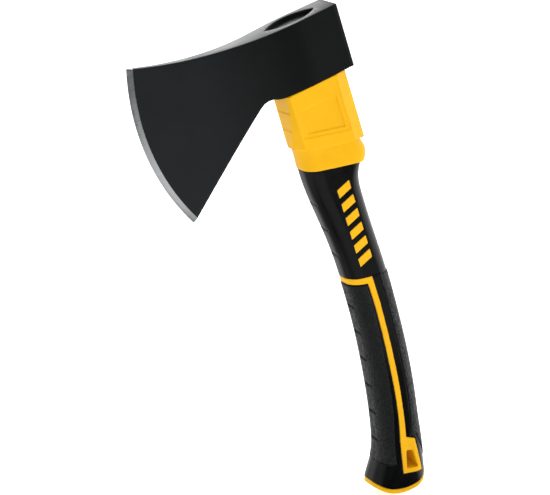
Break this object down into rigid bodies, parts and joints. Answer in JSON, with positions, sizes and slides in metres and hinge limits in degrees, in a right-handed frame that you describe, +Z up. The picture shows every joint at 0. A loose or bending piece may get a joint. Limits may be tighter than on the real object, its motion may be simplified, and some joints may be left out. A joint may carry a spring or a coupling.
{
  "type": "hand axe",
  "caption": "One-handed axe with a forged flared blade and flat poll on a moulded two-colour handle with an overstrike collar, soft grip pads and a hanging hole.",
  "frame": {"origin": "middle of the grip, on the handle's centreline", "axes": "+Z up the handle towards the head, along the head's eye; -X towards the cutting edge and +X towards the flat poll; Y across the width, the two sides alike"},
  "size_m": [0.1463, 0.0292, 0.35],
  "materials": {
    "head_steel": "black baked enamel, ground bright along the edge",
    "potting_resin": "cast black epoxy",
    "glass_fibre": "pultruded glass fibre",
    "yellow_plastic": "moulded polypropylene, satin",
    "black_plastic": "moulded polypropylene, glossy",
    "grip_rubber": "soft textured thermoplastic rubber"
  },
  "bodies": {
    "root": {"axe_head": "head_steel", "eye_potting": "potting_resin", "fibreglass_core": "glass_fibre", "overstrike_collar": "yellow_plastic", "shaft_jacket": "black_plastic", "shaft_bars": "yellow_plastic", "grip_body": "yellow_plastic", "grip_skin": "black_plastic", "front_grip_pad": "grip_rubber", "rear_grip_pad": "grip_rubber"}
  },
  "joints": []
}
